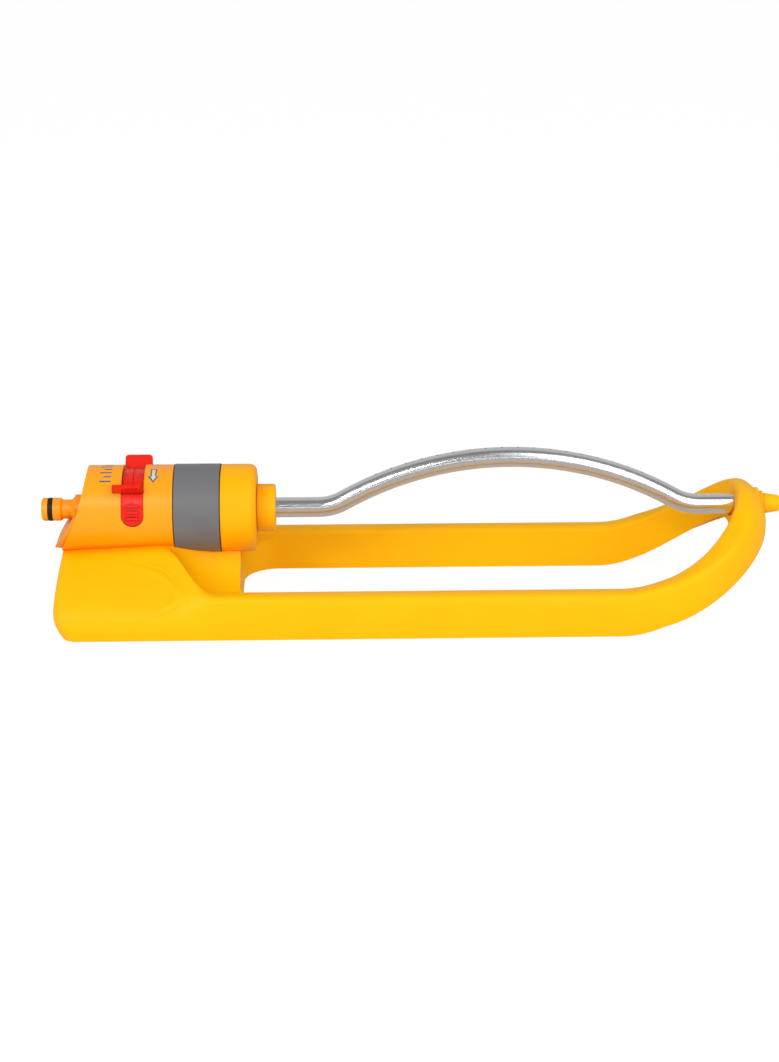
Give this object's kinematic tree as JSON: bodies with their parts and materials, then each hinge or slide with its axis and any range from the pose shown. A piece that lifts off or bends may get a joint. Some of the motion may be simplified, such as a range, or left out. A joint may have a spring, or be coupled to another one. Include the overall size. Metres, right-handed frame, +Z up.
{
  "type": "oscillating lawn sprinkler",
  "caption": "Oscillating lawn sprinkler with a bowed spray tube that swings between a round motor housing with range sliders and the bearing at the end of a looped moulded base.",
  "frame": {"origin": "centre of the footprint's bounding box, on the ground", "axes": "+X along the swing axis from the hose inlet towards the end bearing, +Z up, +Y to the left of +X"},
  "size_m": [0.5134, 0.151, 0.111],
  "materials": {
    "base_plastic": "smooth moulded, light satin",
    "cover_plastic": "smooth moulded, light gloss",
    "ring_plastic": "smooth moulded, satin",
    "slider_plastic": "smooth moulded, light gloss",
    "tube_aluminium": "drawn, bright satin",
    "inner_plastic": "natural white",
    "steel": "stainless",
    "rubber": "black"
  },
  "bodies": {
    "frame": {"base_frame": "base_plastic", "housing_cover": "cover_plastic", "coupling_ring": "ring_plastic", "gearbox_end": "base_plastic", "end_bush": "base_plastic", "hose_nipple": "cover_plastic", "nipple_oring": "rubber", "inlet_filter": "inner_plastic", "inlet_seal": "rubber", "jet_plate": "inner_plastic", "gear_plate_front": "inner_plastic", "gear_plate_rear": "inner_plastic", "side_axle": "steel", "shaft_seal": "rubber", "housing_seals": "rubber", "base_screws": "steel", "trip_spring": "steel"},
    "tube": {"output_hub": "base_plastic", "spray_tube": "tube_aluminium", "tube_seal": "rubber", "output_gear": "inner_plastic", "output_shaft": "steel"},
    "plug": {"end_plug": "base_plastic", "plug_oring": "rubber"},
    "turbine_rotor": {"turbine": "inner_plastic", "turbine_shaft": "steel"},
    "gear_a": {"reduction_gear_a": "inner_plastic"},
    "gear_b": {"reduction_gear_b": "inner_plastic"},
    "gear_c": {"reduction_gear_c": "inner_plastic"},
    "reverser": {"trip_lever": "slider_plastic", "diverter": "slider_plastic"},
    "near_slider": {"slider_near": "slider_plastic"},
    "far_slider": {"slider_far": "slider_plastic"}
  },
  "joints": [
    {"name": "tube_swing", "type": "hinge", "parent": "frame", "child": "tube", "pos_m": [-0.1, 0, 0.0685], "axis": [1, 0, 0], "range_deg": [-48, 48]},
    {"name": "plug_pull", "type": "slide", "parent": "tube", "child": "plug", "axis": [1, 0, 0], "range_m": [0, 0.03]},
    {"name": "turbine_spin", "type": "hinge", "parent": "frame", "child": "turbine_rotor", "pos_m": [-0.21, 0, 0.0685], "axis": [1, 0, 0], "range_deg": [-1900, 1900]},
    {"name": "gear_a_spin", "type": "hinge", "parent": "frame", "child": "gear_a", "pos_m": [-0.175, 0, 0.0559], "axis": [1, 0, 0], "range_deg": [-770, 770]},
    {"name": "gear_b_spin", "type": "hinge", "parent": "frame", "child": "gear_b", "pos_m": [-0.17, 0, 0.0685], "axis": [1, 0, 0], "range_deg": [-310, 310]},
    {"name": "gear_c_spin", "type": "hinge", "parent": "frame", "child": "gear_c", "pos_m": [-0.164, 0, 0.0559], "axis": [1, 0, 0], "range_deg": [-125, 125]},
    {"name": "reverser_rock", "type": "hinge", "parent": "frame", "child": "reverser", "pos_m": [-0.204, 0, 0.0685], "axis": [1, 0, 0], "range_deg": [-12, 12]},
    {"name": "near_range", "type": "hinge", "parent": "frame", "child": "near_slider", "pos_m": [-0.195, 0, 0.0685], "axis": [1, 0, 0], "range_deg": [-44, 0]},
    {"name": "far_range", "type": "hinge", "parent": "frame", "child": "far_slider", "pos_m": [-0.188, 0, 0.0685], "axis": [1, 0, 0], "range_deg": [-10, 34]}
  ],
  "couplings": [
    {"joint": "gear_c_spin", "follows": "tube_swing", "ratio": -2.5},
    {"joint": "gear_b_spin", "follows": "tube_swing", "ratio": 6.25},
    {"joint": "gear_a_spin", "follows": "tube_swing", "ratio": -15.625},
    {"joint": "turbine_spin", "follows": "tube_swing", "ratio": 39.062}
  ]
}
